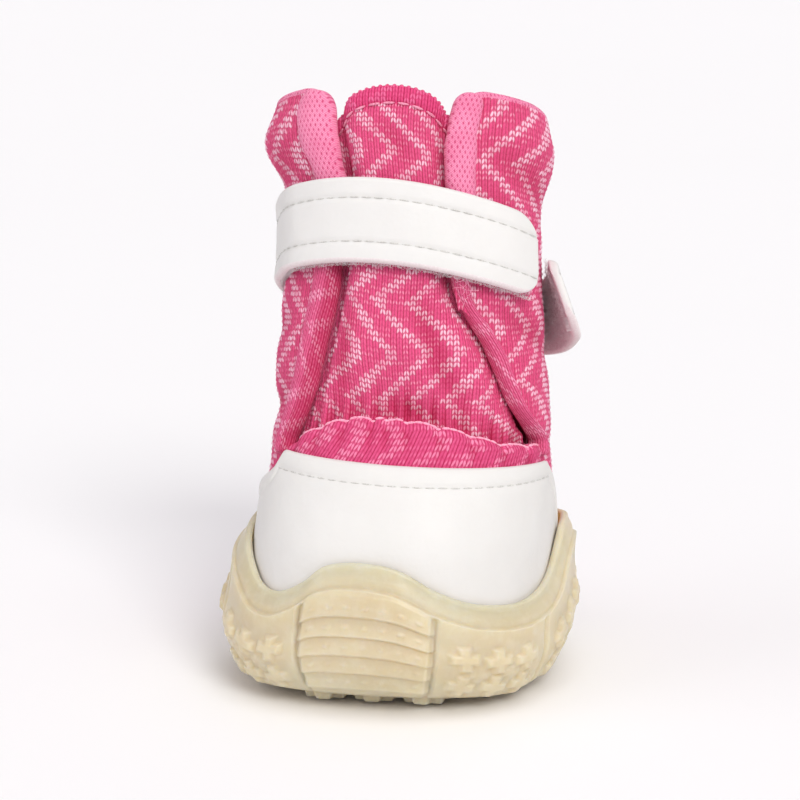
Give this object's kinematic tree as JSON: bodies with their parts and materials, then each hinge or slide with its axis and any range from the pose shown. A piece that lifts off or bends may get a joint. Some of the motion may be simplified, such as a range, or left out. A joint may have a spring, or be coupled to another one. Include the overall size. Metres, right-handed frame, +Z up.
{
  "type": "dog boot",
  "caption": "Knitted dog boot with a hollow shaft, throat and tongue, smooth toe cap, wrap strap and moulded rubber cup sole with lugs.",
  "frame": {"origin": "on the floor under the middle of the sole", "axes": "+Z up the shaft, -Y towards the toe, +X towards the side on which the strap closes"},
  "size_m": [0.0669, 0.0752, 0.11],
  "materials": {
    "gum_rubber": "translucent pale yellow gum rubber, satin",
    "insole_cloth": "brushed cloth",
    "knit": "dark pink jersey knit with lighter pink chevrons",
    "white_leather": "off-white coated leather with a fine grain",
    "lining_mesh": "light pink spacer mesh"
  },
  "bodies": {
    "root": {"outsole": "gum_rubber", "insole": "insole_cloth", "upper": "knit", "tongue": "knit", "toe_cap": "white_leather", "binding_left": "lining_mesh", "binding_right": "lining_mesh", "strap": "white_leather", "closure_tab": "white_leather"}
  },
  "joints": []
}
